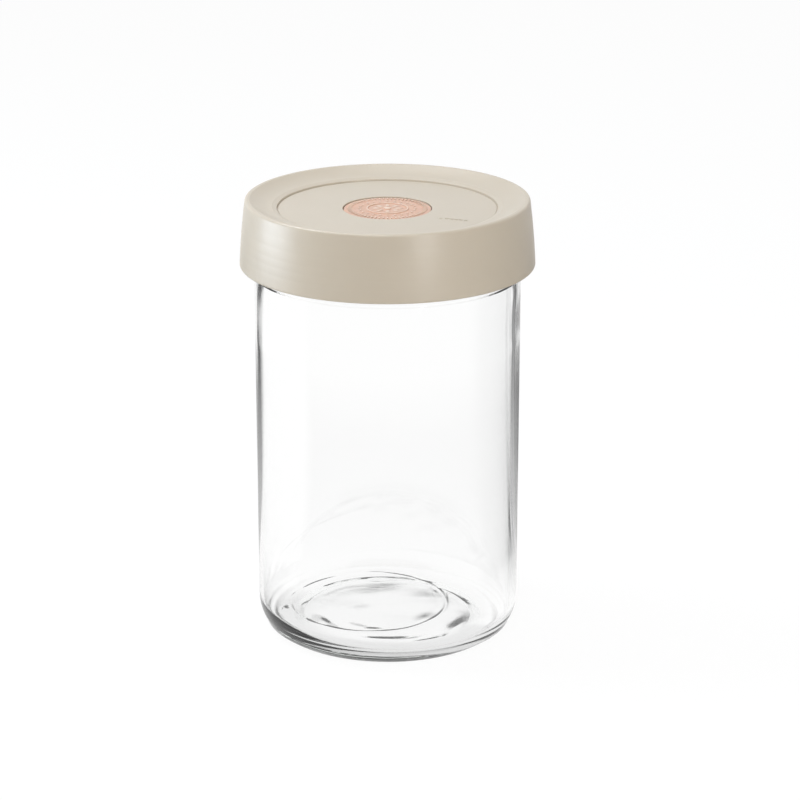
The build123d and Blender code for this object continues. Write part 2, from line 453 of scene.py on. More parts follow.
def smooth_share(value, low, high):
    """Rises smoothly from 0 at low to 1 at high."""
    share = min(max((value - low) / (high - low), 0), 1)
    return share * share * (3 - 2 * share)


def swell(distance, half_width):
    """1 in the middle of a soft ridge or hollow, and less the further away."""
    return math.exp(-((distance / half_width) ** 2))


def arch(share):
    """0 at both ends of a stretch and 1 in its middle."""
    return 4 * share * (1 - share)


def radius_of(vert):
    """Distance of a vertex from the Z axis."""
    return math.hypot(vert.co.x, vert.co.y)


def bearing_of(vert):
    """Turn of a vertex round the Z axis in degrees, from the right side of the jar."""
    return math.degrees(math.atan2(vert.co.y, vert.co.x))


def push_out(vert, distance):
    """Moves a vertex away from the Z axis."""
    share = 1 + distance / radius_of(vert)
    vert.co.x *= share
    vert.co.y *= share


# The thread of glass and lid: its lead, where its starts begin and how far each runs in degrees, and the
# share of that over which it rises at either end
THREAD_LEAD = 9.0 * MM
THREAD_STARTS = (0.0, 180.0)
THREAD_SWEEP = 208.8
THREAD_END_SHARE = 0.2


def thread_height(angle, height, top_height, crest_half, root_half):
    """Share of the full height of a two-start, right-hand thread at this angle in degrees and height."""
    tallest = 0.0
    for start in THREAD_STARTS:
        turned = (start - angle) % 360
        if turned > THREAD_SWEEP:
            continue
        centre = top_height - THREAD_LEAD * turned / 360
        from_end = min(turned, THREAD_SWEEP - turned) / (THREAD_END_SHARE * THREAD_SWEEP)
        ease = math.sin(min(from_end, 1) * math.pi / 2) ** 2
        flank = smooth_share(root_half - abs(height - centre), 0, root_half - crest_half)
        tallest = max(tallest, ease * flank)
    return tallest


def to_object(mesh, name, material, sharp_angle=None):
    """Makes an object from the bmesh at the origin, shaded smooth between its sharp edges."""
    data = bpy.data.meshes.new(name)
    mesh.to_mesh(data)
    mesh.free()
    data.shade_smooth()
    if sharp_angle:
        data.set_sharp_from_angle(angle=math.radians(sharp_angle))
    data.materials.append(material)
    made = bpy.data.objects.new(name, data)
    bpy.context.scene.collection.objects.link(made)
    return made


def ring_of(mesh, mark, count):
    """Repeats a small mark round the Z axis, joins the ring to the mesh and frees the mark."""
    step = math.tau / count
    bmesh.ops.spin(
        mark,
        geom=mark.verts[:] + mark.edges[:] + mark.faces[:],
        cent=(0, 0, 0),
        axis=(0, 0, 1),
        dvec=(0, 0, 0),
        angle=math.tau - step,
        steps=count - 1,
        use_duplicate=True,
    )
    ring = bpy.data.meshes.new("ring")
    mark.to_mesh(ring)
    mark.free()
    mesh.from_mesh(ring)
    bpy.data.meshes.remove(ring)


def raised_bar(mesh, place, extent, edge, turn=0.0):
    """Adds a block with rounded edges, extent across, centred on place and turned round its upright axis."""
    matrix = Matrix.Translation(place) @ Matrix.Rotation(turn, 4, "Z") @ Matrix.Diagonal((*extent, 1))
    block = bmesh.ops.create_cube(mesh, size=1.0, matrix=matrix)["verts"]
    bmesh.ops.bevel(
        mesh,
        geom=list({item for vert in block for item in vert.link_edges}),
        offset=edge,
        offset_type="OFFSET",
        affect="EDGES",
        segments=2,
        profile=0.5,
        material=-1,
    )


def raised_dome(mesh, place, extent):
    """Adds a low dome, an ellipsoid half sunk in the surface that it is centred on."""
    bmesh.ops.create_uvsphere(
        mesh,
        u_segments=20,
        v_segments=10,
        radius=1.0,
        matrix=Matrix.Translation(place) @ Matrix.Diagonal((*extent, 1)),
    )


# Glass jar

# Roundings of the glass from the floor inside over the rim to the push-up
FLOOR_ROUNDING = 1.5 * MM
WALL_FOOT_ROUNDING = 8 * MM
RIM_ROUNDING = 0.9 * MM
NECK_FOOT_ROUNDING = 0.15 * MM
SHOULDER_ROUNDING = 0.25 * MM
FOOT_ROUNDING = 1.0 * MM
PUNT_ROUNDING = 1.0 * MM

# Heights between which the bore narrows to the mouth, and the wall's waves and the floor's tilt fade out
NARROWING = (125 * MM, 150 * MM)
WAVE_FADE = (140 * MM, 155 * MM)
TILT_FADE = (8 * MM, 20 * MM)

# Which part of the glass is the underside, and which the floor and walls inside
UNDERSIDE_TOP = 3 * MM
UNDERSIDE_RADIUS = 45 * MM
INSIDE_MARGIN = 0.2 * MM
SKIN_MARGIN = 0.5 * MM
FLOOR_MARGIN = 2 * MM
SLACK = 0.01 * MM
BELOW_FLOOR_SHARE = 0.7
WALL_SHARE = 0.8

# Length of the mesh's edges along the outline, and steps round it
NECK_PITCH = 0.36 * MM
UNDERSIDE_PITCH = 0.5 * MM
GLASS_PITCH = 2.0 * MM
GLASS_STEPS = 240

# The glass thread: middle of its ridge at the start, its height, and its half widths at crest and root
GLASS_THREAD_TOP = 169.4 * MM
GLASS_RIDGE = 1.7 * MM
GLASS_CREST_HALF = 0.4 * MM
GLASS_ROOT_HALF = 1.25 * MM

# Waves per metre in the inner wall, across and up, one in about 33 and 45 mm
WAVE_RATES = (30, 22)

# The mould's ring underneath, off the middle, and the uneven hollow just inside it
RING_PLACE = (-8 * MM, 11 * MM)
RING_RADIUS = 33.5 * MM
RING_HALF_WIDTH = 0.7 * MM
HOLLOW_INSET = 3.0 * MM
HOLLOW_HALF_WIDTH = 1.8 * MM
HOLLOW_SHARE = 2.2
HOLLOW_RATE = 50

# The ripple of the push-up, which dies out towards the foot, as a share of the chill depth
RIPPLE_SHARE = 0.7
RIPPLE_RATE = 70
RIPPLE_FADE = 3 * MM

# Slices through the noise, so that no two patterns are alike
WAVE_SLICE = 5
HOLLOW_SLICE = 7
RIPPLE_SLICE = 9

# Cold patches under the glass: distance from the middle in mm, bearing in degrees, half width in mm, half
# sweep in degrees, and share of the chill depth
CHILL_MARKS = (
    (33, 334, 3.2, 18, 2.2),
    (36, 305, 2.6, 24, 1.9),
    (43, 178, 1.8, 5, 1.6),
    (31, 272, 2.6, 26, 1.3),
    (30, 205, 3.0, 18, 1.3),
    (22, 246, 3.2, 26, 0.8),
    (19, 330, 4.0, 22, 1.1),
)


class JAR_OT_build_glass(Operator):
    """Builds the pressed glass jar in place of the plain solid"""

    bl_idname = "jar.build_glass"
    bl_label = "Glass Jar"

    def execute(self, context):
        size = context.scene.jar_glass
        mesh = self.outline(size)
        revolve(mesh, GLASS_STEPS)
        for vert in mesh.verts:
            radius = radius_of(vert)
            outside = radius > (size.body_bore + size.body_radius) / 2
            if outside and size.neck_foot_height < vert.co.z < size.rim_height - MM:
                rise = thread_height(
                    bearing_of(vert), vert.co.z, GLASS_THREAD_TOP, GLASS_CREST_HALF, GLASS_ROOT_HALF
                )
                push_out(vert, GLASS_RIDGE * rise)
            elif vert.co.z < UNDERSIDE_TOP and radius < UNDERSIDE_RADIUS:
                self.mark_underside(vert, size)
            elif self.is_inside(vert, size):
                self.settle_inside(vert, size)
        jar = to_object(mesh, "pressed_glass_jar", soda_lime_glass(size))
        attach(jar, "jar")
        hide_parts("glass_jar")
        return {"FINISHED"}

    @staticmethod
    def outline(size):
        """The glass in section, from the middle of the floor over the rim to the middle of the push-up."""
        floor_edge = size.floor_height - size.floor_crown
        narrow_foot, narrow_top = NARROWING
        corners = [
            (0, size.floor_height, 0),
            (size.body_bore - size.floor_turn, floor_edge, FLOOR_ROUNDING),
            (size.body_bore, floor_edge + size.floor_turn, WALL_FOOT_ROUNDING),
            (size.body_bore, narrow_foot, 0),
            (size.mouth_radius, narrow_top, 0),
            (size.mouth_radius, size.rim_height, RIM_ROUNDING),
            (size.neck_radius, size.rim_height, RIM_ROUNDING),
            (size.neck_radius, size.neck_foot_height, NECK_FOOT_ROUNDING),
            (size.body_radius, size.shoulder_height, SHOULDER_ROUNDING),
            (size.body_radius, 0, size.heel_width),
            (size.foot_radius, 0, FOOT_ROUNDING),
            (size.punt_radius, size.punt_lip, PUNT_ROUNDING),
            (0, size.punt_lip + size.punt_crown / 2, 0),
        ]
        mesh = outline_mesh(corners, arc_step=6)

        # The heel's arc is stretched upwards to a quarter of an ellipse
        heel_foot = size.body_radius - size.heel_width - SLACK
        heel = [
            vert for vert in mesh.verts
            if vert.co.z < size.heel_width + SLACK and vert.co.x > heel_foot
            and (vert.co.x > size.body_bore + INSIDE_MARGIN or vert.co.z < BELOW_FLOOR_SHARE * floor_edge)
        ]
        bmesh.ops.scale(mesh, vec=(1, 1, size.heel_height / size.heel_width), verts=heel)

        def pitch(place):
            on_neck = place.x > size.mouth_radius + MM and place.z > size.neck_foot_height
            underneath = place.z < UNDERSIDE_TOP and place.x < UNDERSIDE_RADIUS
            return NECK_PITCH if on_neck else UNDERSIDE_PITCH if underneath else GLASS_PITCH

        divide(mesh, pitch)
        for vert in mesh.verts:
            share = vert.co.x / size.punt_radius
            if share < 1 and vert.co.z < size.floor_height - FLOOR_MARGIN:
                vert.co.z = size.punt_lip + size.punt_crown * (1 - share**2)
        return mesh

    @staticmethod
    def is_inside(vert, size):
        """Tells the floor and the inner wall from the outer skin, whose heel is a quarter of an ellipse."""
        radius = radius_of(vert)
        if radius > size.body_bore + INSIDE_MARGIN:
            return False
        across = max(radius - size.body_radius + size.heel_width, 0) / size.heel_width
        heel = size.heel_height * (1 - math.sqrt(1 - across**2))
        return vert.co.z > heel + SKIN_MARGIN

    @staticmethod
    def settle_inside(vert, size):
        """Gives the inside what pressing leaves: a drift off the middle, a tilted floor and slow waves."""
        if radius_of(vert) > WALL_SHARE * size.mouth_radius:
            across, up = WAVE_RATES
            wave = noise.noise(Vector((vert.co.x * across, vert.co.y * across, vert.co.z * up + WAVE_SLICE)))
            push_out(vert, size.waviness * wave * (1 - smooth_share(vert.co.z, *WAVE_FADE)))
        vert.co.x -= size.wall_drift * (1 - smooth_share(vert.co.z, *NARROWING))
        vert.co.z -= size.floor_tilt * vert.co.x * (1 - smooth_share(vert.co.z, *TILT_FADE))

    @staticmethod
    def mark_underside(vert, size):
        """Presses in the mould's ring, the uneven hollow inside it, the cold patches and the ripple."""
        from_ring = math.hypot(vert.co.x - RING_PLACE[0], vert.co.y - RING_PLACE[1]) - RING_RADIUS
        vert.co.z += size.ring_depth * swell(from_ring, RING_HALF_WIDTH)
        uneven = noise.noise(Vector((vert.co.x * HOLLOW_RATE, vert.co.y * HOLLOW_RATE, HOLLOW_SLICE)))
        beside = swell(from_ring + HOLLOW_INSET, HOLLOW_HALF_WIDTH)
        vert.co.z += HOLLOW_SHARE * size.chill_depth * beside * max(uneven, 0)
        radius = radius_of(vert)
        angle = bearing_of(vert) % 360
        for far, turn, width, sweep, share in CHILL_MARKS:
            along = abs((angle - turn + 180) % 360 - 180)
            patch = swell(along, sweep) * swell(radius - far * MM, width * MM)
            vert.co.z += share * size.chill_depth * patch
        ripple = noise.noise(Vector((vert.co.x * RIPPLE_RATE, vert.co.y * RIPPLE_RATE, RIPPLE_SLICE)))
        fade = smooth_share(size.foot_radius - radius, 0, RIPPLE_FADE)
        vert.co.z += RIPPLE_SHARE * size.chill_depth * ripple * fade


# Lid seal

SEAL_ROUNDING = 0.4 * MM
SEAL_GRAIN = 0.4 * MM
SEAL_PITCH = 1.0 * MM
SEAL_STEPS = 192


class JAR_OT_build_seal(Operator):
    """Builds the flat silicone seal under the lid"""

    bl_idname = "jar.build_seal"
    bl_label = "Lid Seal"

    def execute(self, context):
        size = context.scene.jar_seal
        foot = context.scene.jar_glass.rim_height
        corners = [
            (size.inner_radius, foot, SEAL_ROUNDING),
            (size.outer_radius, foot, SEAL_ROUNDING),
            (size.outer_radius, foot + size.thickness, SEAL_ROUNDING),
            (size.inner_radius, foot + size.thickness, SEAL_ROUNDING),
        ]
        mesh = outline_mesh(corners, arc_step=15)
        divide(mesh, lambda place: SEAL_PITCH)
        revolve(mesh, SEAL_STEPS)
        rubber = silicone("milky_silicone", size.colour, SEAL_GRAIN, roughness=0.4, subsurface=0.3)
        ring = to_object(mesh, "silicone_lid_seal", rubber)
        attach(ring, "seal")
        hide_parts("lid_seal")
        return {"FINISHED"}


# Screw lid

# The valve's pocket, with the hole for its stem in the floor, and the boss that carries it under the panel
STEM_HOLE_RADIUS = 3.2 * MM
POCKET_RADIUS = 18.0 * MM
POCKET_DEPTH = 2.55 * MM
POCKET_FLOOR = 1.8 * MM
POCKET_ROUNDING = 0.2 * MM
POCKET_LIP_ROUNDING = 0.25 * MM
BOSS_RADIUS = 20.2 * MM
BOSS_ROOT_ROUNDING = 0.4 * MM
BOSS_ROUNDING = 0.3 * MM

# The panel, the fine groove round it, and the inner slope, which is hollow between its crease and the crest
PANEL_THICKNESS = 2.2 * MM
GROOVE_LIP = 0.35 * MM
GROOVE_WIDTH = 0.3 * MM
GROOVE_DEPTH = 0.3 * MM
GROOVE_LIP_ROUNDING = 0.08 * MM
GROOVE_ROUNDING = 0.06 * MM
STEP_WIDTH = 0.25 * MM
STEP_RISE = 0.6 * MM
STEP_ROUNDING = 0.12 * MM
CREASE_RADIUS = 46.6 * MM
CREASE_RISE = 1.2 * MM
CREASE_ROUNDING = 0.8 * MM
SLOPE_WIDTH = 9.0 * MM
SLOPE_HOLLOW = 0.55 * MM

# The crest and the skirt, which bows out between its foot and the crest
CREST_WIDTH = 1.9 * MM
CREST_INNER_ROUNDING = 0.7 * MM
CREST_OUTER_ROUNDING = 1.0 * MM
SKIRT_ROUNDING = 0.7 * MM
SKIRT_BORE = 57.0 * MM
SKIRT_SKIN = 1.2 * MM
SKIRT_BOW = 0.3 * MM

# Sink bands on the skirt: height and half width in mm
SINK_BANDS = ((178.2, 0.8), (173.6, 0.7), (169.4, 0.6), (166.0, 0.6), (162.6, 0.6))

# The shelf over the thread, the seat of the seal and the plug ring
SHELF_RADIUS = 55.9 * MM
SHELF_FOOT = 172.05 * MM
SHELF_TOP = 173.0 * MM
SHELF_ROUNDING = 0.3 * MM
SEAT_RADIUS = 54.95 * MM
SEAT_HEIGHT = 175.5 * MM
SEAT_ROUNDING = 0.2 * MM
PLUG_OUTER = 49.6 * MM
PLUG_INNER = 47.8 * MM
PLUG_FOOT = 167.5 * MM
PLUG_ROUNDING = 0.5 * MM
PLUG_ROOT_ROUNDING = 0.6 * MM

# The lid's thread: middle of its ridge at the start, radius of its crest, its half widths at crest and root,
# and the part of the bore that it stands in
LID_THREAD_TOP = 167.4 * MM
LID_CREST_RADIUS = 54.2 * MM
LID_CREST_HALF = 0.35 * MM
LID_ROOT_HALF = 1.05 * MM
THREADED_RADIUS = 54.5 * MM
THREADED_TOP = 172 * MM

# Length of the mesh's edges along the outline, where the bore's fine mesh ends, and steps round it
BORE_EDGE = 57.5 * MM
BORE_TOP = 172.1 * MM
BORE_PITCH = 0.4 * MM
SKIRT_PITCH = 0.5 * MM
LID_PITCH = 1.5 * MM
LID_STEPS = 240

# The plain mark on the panel, a dot and a row of bars, turned in degrees
MARK_PLACE = (21.1 * MM, -16.3 * MM)
MARK_TURN = -20
DOT_EXTENT = (1.0 * MM, 1.0 * MM, 0.3 * MM)
BAR_COUNT = 5
BAR_START = 1.6 * MM
BAR_PITCH = 2.0 * MM
BAR_EXTENT = (1.5 * MM, 0.8 * MM, 0.5 * MM)
BAR_EDGE = 0.1 * MM

# The vent holes through the floor of the pocket, and the length of the drill that cuts them
VENT_COUNT = 6
VENT_RADIUS = 1.5 * MM
VENT_CIRCLE = 9.5 * MM
DRILL_LENGTH = 4 * MM


class JAR_OT_build_lid(Operator):
    """Builds the moulded screw lid with its crest, panel, valve pocket, plug ring and thread ridges"""

    bl_idname = "jar.build_lid"
    bl_label = "Screw Lid"

    def execute(self, context):
        size = context.scene.jar_lid
        web = size.panel_height - POCKET_DEPTH - POCKET_FLOOR
        mesh = self.outline(size, web)
        revolve(mesh, LID_STEPS)
        for vert in mesh.verts:
            self.shape(vert, size)
        bmesh.ops.recalc_face_normals(mesh, faces=mesh.faces[:])
        lid = to_object(mesh, "moulded_screw_lid", moulded_polypropylene(size), sharp_angle=40)
        self.cut_vents(context, lid, web)
        self.add_mark(lid, size.panel_height)
        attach(lid, "lid")
        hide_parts("lid")
        return {"FINISHED"}

    @staticmethod
    def outline(size, web):
        """The lid in section, from its stem hole over panel and crest to the skirt, and back underneath."""
        panel = size.panel_height
        under = panel - PANEL_THICKNESS
        pocket = panel - POCKET_DEPTH
        groove = panel - GROOVE_DEPTH
        corners = [
            (STEM_HOLE_RADIUS, pocket, 0),
            (POCKET_RADIUS, pocket, POCKET_ROUNDING),
            (POCKET_RADIUS, panel, POCKET_LIP_ROUNDING),
            (size.panel_radius - GROOVE_LIP, panel, GROOVE_LIP_ROUNDING),
            (size.panel_radius - GROOVE_WIDTH, groove, GROOVE_ROUNDING),
            (size.panel_radius, groove, GROOVE_ROUNDING),
            (size.panel_radius + STEP_WIDTH, panel + STEP_RISE, STEP_ROUNDING),
            (CREASE_RADIUS, panel + CREASE_RISE, CREASE_ROUNDING),
            (size.crest_radius - CREST_WIDTH, size.crest_height, CREST_INNER_ROUNDING),
            (size.crest_radius, size.crest_height, CREST_OUTER_ROUNDING),
            (size.foot_radius, size.foot_height, SKIRT_ROUNDING),
            (SKIRT_BORE, size.foot_height, SKIRT_ROUNDING),
            (SHELF_RADIUS, SHELF_FOOT, SHELF_ROUNDING),
            (SEAT_RADIUS, SHELF_TOP, SHELF_ROUNDING),
            (SEAT_RADIUS, SEAT_HEIGHT, SEAT_ROUNDING),
            (PLUG_OUTER, SEAT_HEIGHT, SEAT_ROUNDING),
            (PLUG_OUTER, PLUG_FOOT, PLUG_ROUNDING),
            (PLUG_INNER, PLUG_FOOT, PLUG_ROUNDING),
            (PLUG_INNER, under, PLUG_ROOT_ROUNDING),
            (BOSS_RADIUS, under, BOSS_ROOT_ROUNDING),
            (BOSS_RADIUS, web, BOSS_ROUNDING),
            (STEM_HOLE_RADIUS, web, POCKET_ROUNDING),
        ]
        mesh = outline_mesh(corners, arc_step=9)

        def pitch(place):
            in_bore = THREADED_RADIUS < place.x < BORE_EDGE and place.z < BORE_TOP
            on_skirt = place.x > BORE_EDGE
            return BORE_PITCH if in_bore else SKIRT_PITCH if on_skirt else LID_PITCH

        divide(mesh, pitch)
        return mesh

    @staticmethod
    def shape(vert, size):
        """Bows and bands the skirt, raises the thread in its bore and hollows the inner slope."""
        radius = radius_of(vert)
        height = vert.co.z
        along = (height - size.foot_height) / (size.crest_height - size.foot_height)
        skirt = size.foot_radius + (size.crest_radius - size.foot_radius) * along
        if radius > skirt - SKIRT_SKIN:
            sink = sum(swell(height / MM - centre, half_width) for centre, half_width in SINK_BANDS)
            push_out(vert, SKIRT_BOW * arch(along) - size.sink_depth * sink)
        elif radius > THREADED_RADIUS and height < THREADED_TOP:
            ridge = thread_height(bearing_of(vert), height, LID_THREAD_TOP, LID_CREST_HALF, LID_ROOT_HALF)
            push_out(vert, (LID_CREST_RADIUS - radius) * ridge)
        elif CREASE_RADIUS < radius < size.crest_radius - MM and height > size.panel_height + MM:
            vert.co.z -= SLOPE_HOLLOW * max(arch((radius - CREASE_RADIUS) / SLOPE_WIDTH), 0)

    @staticmethod
    def cut_vents(context, lid, web):
        """Cuts the vent holes through the floor of the valve's pocket."""
        cutter = bmesh.new()
        for index in range(VENT_COUNT):
            turn = math.radians(360 / VENT_COUNT * index)
            place = (VENT_CIRCLE * math.cos(turn), VENT_CIRCLE * math.sin(turn), web + POCKET_FLOOR / 2)
            bmesh.ops.create_cone(
                cutter,
                cap_ends=True,
                segments=32,
                radius1=VENT_RADIUS,
                radius2=VENT_RADIUS,
                depth=DRILL_LENGTH,
                matrix=Matrix.Translation(place),
            )
        drill = to_object(cutter, "vent_drill", lid.data.materials[0])
        cut = lid.modifiers.new("vents", "BOOLEAN")
        cut.operation = "DIFFERENCE"
        cut.solver = "EXACT"
        cut.object = drill
        context.view_layer.update()
        pierced = bpy.data.meshes.new_from_object(lid.evaluated_get(context.evaluated_depsgraph_get()))
        lid.modifiers.remove(cut)
        lid.data = pierced
        bpy.data.objects.remove(drill)

    @staticmethod
    def add_mark(lid, panel):
        """Joins the plain mark to the panel. It comes after the vents, because the cut can drop a shell as
        small as the dot."""
        mesh = bmesh.new()
        place = Vector((*MARK_PLACE, panel))
        turn = math.radians(MARK_TURN)
        raised_dome(mesh, place, DOT_EXTENT)
        for index in range(BAR_COUNT):
            along = BAR_START + BAR_PITCH * (index + 0.5)
            across = Vector((along * math.cos(turn), along * math.sin(turn), 0))
            raised_bar(mesh, place + across, BAR_EXTENT, BAR_EDGE, turn)
        bmesh.ops.recalc_face_normals(mesh, faces=mesh.faces[:])
        mark = to_object(mesh, "lid_mark", lid.data.materials[0], sharp_angle=40)
        joined = bmesh.new()
        joined.from_mesh(lid.data)
        joined.from_mesh(mark.data)
        joined.to_mesh(lid.data)
        joined.free()
        bpy.data.objects.remove(mark)


# Vent valve

# The disc, the rosette's eye and the raised ring, whose flanks slope a little
DISC_THICKNESS = 1.75 * MM
DISC_ROUNDING = 0.3 * MM
EYE_RADIUS = 1.4 * MM
RING_INNER = 7.97 * MM
RING_OUTER = 8.43 * MM
FLANK = 0.05 * MM
CROWN_ROUNDING = 0.12 * MM
FLANK_ROUNDING = 0.08 * MM

# The sealing lip under the disc, the stem, and the bulb that holds the valve in the lid
LIP_OUTER = 16.5 * MM
LIP_INNER = 15.6 * MM
LIP_DEPTH = 0.4 * MM
LIP_ROOT_ROUNDING = 0.1 * MM
LIP_ROUNDING = 0.15 * MM
STEM_RADIUS = 2.9 * MM
STEM_ROUNDING = 0.3 * MM
BULB_TOP = 173.55 * MM
BULB_RADIUS = 4.3 * MM
BULB_SIDE = 0.9 * MM
BULB_SIDE_ROUNDING = 0.4 * MM
BULB_LENGTH = 4.0 * MM
BULB_FOOT_RADIUS = 1.8 * MM
BULB_FOOT_ROUNDING = 0.7 * MM

# The raised marks on the disc: the circle that they stand on and how large they are
TICK_CIRCLE = 15.35 * MM
TICK_LENGTH = 1.7 * MM
TICK_WIDTH = 0.5 * MM
TICK_EDGE = 0.1 * MM
BEAD_CIRCLE = 11.3 * MM
BEAD_RADIUS = 0.55 * MM
PETAL_CIRCLE = 4.5 * MM
PETAL_HALF_LENGTH = 1.7 * MM
PETAL_HALF_WIDTH = 0.95 * MM

VALVE_GRAIN = 0.35 * MM
VALVE_PITCH = 1.0 * MM
VALVE_STEPS = 180


class JAR_OT_build_valve(Operator):
    """Builds the silicone vent valve: disc with a plain raised pattern, sealing lip, stem and bulb"""

    bl_idname = "jar.build_valve"
    bl_label = "Vent Valve"

    def execute(self, context):
        size = context.scene.jar_valve
        top = size.top_height
        crown = top + size.relief
        mesh = self.outline(size.radius, top, crown)
        revolve(mesh, VALVE_STEPS)
        tick = bmesh.new()
        raised_bar(tick, (TICK_CIRCLE, 0, top), (TICK_LENGTH, TICK_WIDTH, 2 * size.relief), TICK_EDGE)
        ring_of(mesh, tick, size.tick_count)
        bead = bmesh.new()
        raised_dome(bead, (BEAD_CIRCLE, 0, top), (BEAD_RADIUS, BEAD_RADIUS, size.relief))
        ring_of(mesh, bead, size.bead_count)
        petal = bmesh.new()
        raised_dome(petal, (PETAL_CIRCLE, 0, top), (PETAL_HALF_LENGTH, PETAL_HALF_WIDTH, size.relief))
        ring_of(mesh, petal, size.petal_count)
        bmesh.ops.recalc_face_normals(mesh, faces=mesh.faces[:])
        # The raised marks get a painted highlight, paler from the disc's top up to their crown
        rubber = silicone(
            "peach_silicone", size.colour, VALVE_GRAIN, roughness=0.5, subsurface=0.25,
            painted_highlight=(top, crown, size.mark_highlight_colour),
        )
        valve = to_object(mesh, "silicone_vent_valve", rubber, sharp_angle=40)
        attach(valve, "valve")
        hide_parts("vent_valve")
        return {"FINISHED"}

    @staticmethod
    def outline(radius, top, crown):
        """The valve in section, from the rosette's eye over the disc and its lip to the foot of the bulb."""
        under = top - DISC_THICKNESS
        lip = under - LIP_DEPTH
        corners = [
            (0, crown, 0),
            (EYE_RADIUS, crown, CROWN_ROUNDING),
            (EYE_RADIUS + FLANK, top, FLANK_ROUNDING),
            (RING_INNER - FLANK, top, FLANK_ROUNDING),
            (RING_INNER, crown, CROWN_ROUNDING),
            (RING_OUTER, crown, CROWN_ROUNDING),
            (RING_OUTER + FLANK, top, FLANK_ROUNDING),
            (radius, top, DISC_ROUNDING),
            (radius, under, DISC_ROUNDING),
            (LIP_OUTER, under, LIP_ROOT_ROUNDING),
            (LIP_OUTER, lip, LIP_ROUNDING),
            (LIP_INNER, lip, LIP_ROUNDING),
            (LIP_INNER, under, LIP_ROOT_ROUNDING),
            (STEM_RADIUS, under, STEM_ROUNDING),
            (STEM_RADIUS, BULB_TOP, STEM_ROUNDING),
            (BULB_RADIUS, BULB_TOP, STEM_ROUNDING),
            (BULB_RADIUS, BULB_TOP - BULB_SIDE, BULB_SIDE_ROUNDING),
            (BULB_FOOT_RADIUS, BULB_TOP - BULB_LENGTH, BULB_FOOT_ROUNDING),
            (0, BULB_TOP - BULB_LENGTH, 0),
        ]
        mesh = outline_mesh(corners, arc_step=15)
        divide(mesh, lambda place: VALVE_PITCH)
        return mesh


# Stage

# Place and size of each lamp in metres, and the point that they all face
KEY_LAMP = ((-0.7, 0.15, 1.0), (0.5, 0.5))
GLINT_LAMP = ((-1.08, 0.1, 0.1), (0.6, 0.18))
STRIP_LAMP = ((0.53, -0.96, 0.35), (0.12, 0.5))
TOP_LAMP = ((-0.2, 0.2, 1.3), (1.0, 1.0))
FRONT_LAMP = ((0.0, -0.9, 1.1), (0.6, 0.3))
LAMP_TARGET = (0, 0, 0.12)

# Levels of grey that the board shows in the glass, by distance from the jar's middle in metres: in its dim
# and its lit stretches, close to the jar, and under the heel, where the jar's shadow is painted
DIM_BY_DISTANCE = ((0.08, 1.0), (0.13, 0.6), (0.24, 0.42), (0.33, 0.28), (0.43, 0.1), (0.7, 0.1), (1.0, 1.0))
LIT_BY_DISTANCE = ((0.14, 1.0), (0.18, 0.8), (0.24, 0.55), (0.33, 0.5), (0.43, 1.0))
NEAR_THE_JAR = ((0.11, 1.0), (0.15, 0.0))
PAINTED_SHADOW_UNDER_THE_HEEL = ((0.045, 0.7), (0.062, 1.0))

# The same by bearing as a share of a turn: 0.25 is the front, 0.5 the right, 0.75 behind and 0 or 1 the left
DIM_BY_BEARING = ((0.45, 1.0), (0.49, 0.5), (0.59, 0.5), (0.594, 0.1), (0.604, 0.1), (0.607, 1.0))
LIT_BY_BEARING = (
    (0.45, 0.8), (0.49, 0.4), (0.575, 0.45), (0.59, 0.7), (0.594, 0.0), (0.604, 0.0), (0.607, 0.9),
    (0.629, 0.9), (0.636, 0.0), (0.655, 0.0), (0.663, 0.85), (0.83, 1.0), (0.838, 0.0), (0.873, 0.0),
    (0.88, 1.0),
)
WHITE_BY_BEARING = (
    (0.05, 0.96), (0.1, 0.0), (0.606, 0.0), (0.61, 0.75), (0.626, 0.75), (0.632, 0.0), (0.873, 0.0),
    (0.888, 0.96),
)

# Painted shadow of the foot on the board, seen straight through the glass: what is left of the board's light
# inside the foot and under it by distance, and all round but for the front by bearing
PAINTED_SHADOW_INSIDE_THE_FOOT = ((0.036, 0.93), (0.046, 1.0))
PAINTED_SHADOW_UNDER_THE_FOOT = ((0.03, 1.0), (0.04, 0.8), (0.052, 0.72), (0.056, 1.0))
UNSHADED_BUT_FOR_THE_FRONT = ((0.0, 0.6), (0.12, 0.0), (0.36, 0.0), (0.46, 1.0), (0.9, 1.0), (1.0, 0.6))

# The share of the board that glows for the camera. The rest is matt paint, which takes the faint shadow, so
# the glow is a little over 1 to come to white with it.
CAMERA_GLOW_SHARE = 0.93
BOARD_GLOW = 1.02

# A ray that has crossed two surfaces of glass at most, as one turned back in a wall has, is below this depth
EDGE_DEPTH = 2.5


def area_lamp(name, place, extent, power, colour="FFFFFF"):
    """Adds a large soft lamp that the camera doesn't see."""
    data = bpy.data.lights.new(name, "AREA")
    data.shape = "RECTANGLE"
    data.size, data.size_y = extent
    data.energy = power
    data.color = linear(colour)[:3]
    lamp = bpy.data.objects.new(name, data)
    lamp.location = place
    lamp.rotation_euler = (Vector(LAMP_TARGET) - Vector(place)).to_track_quat("-Z", "Y").to_euler()
    lamp.visible_camera = False
    lamp.visible_transmission = False
    bpy.context.scene.collection.objects.link(lamp)


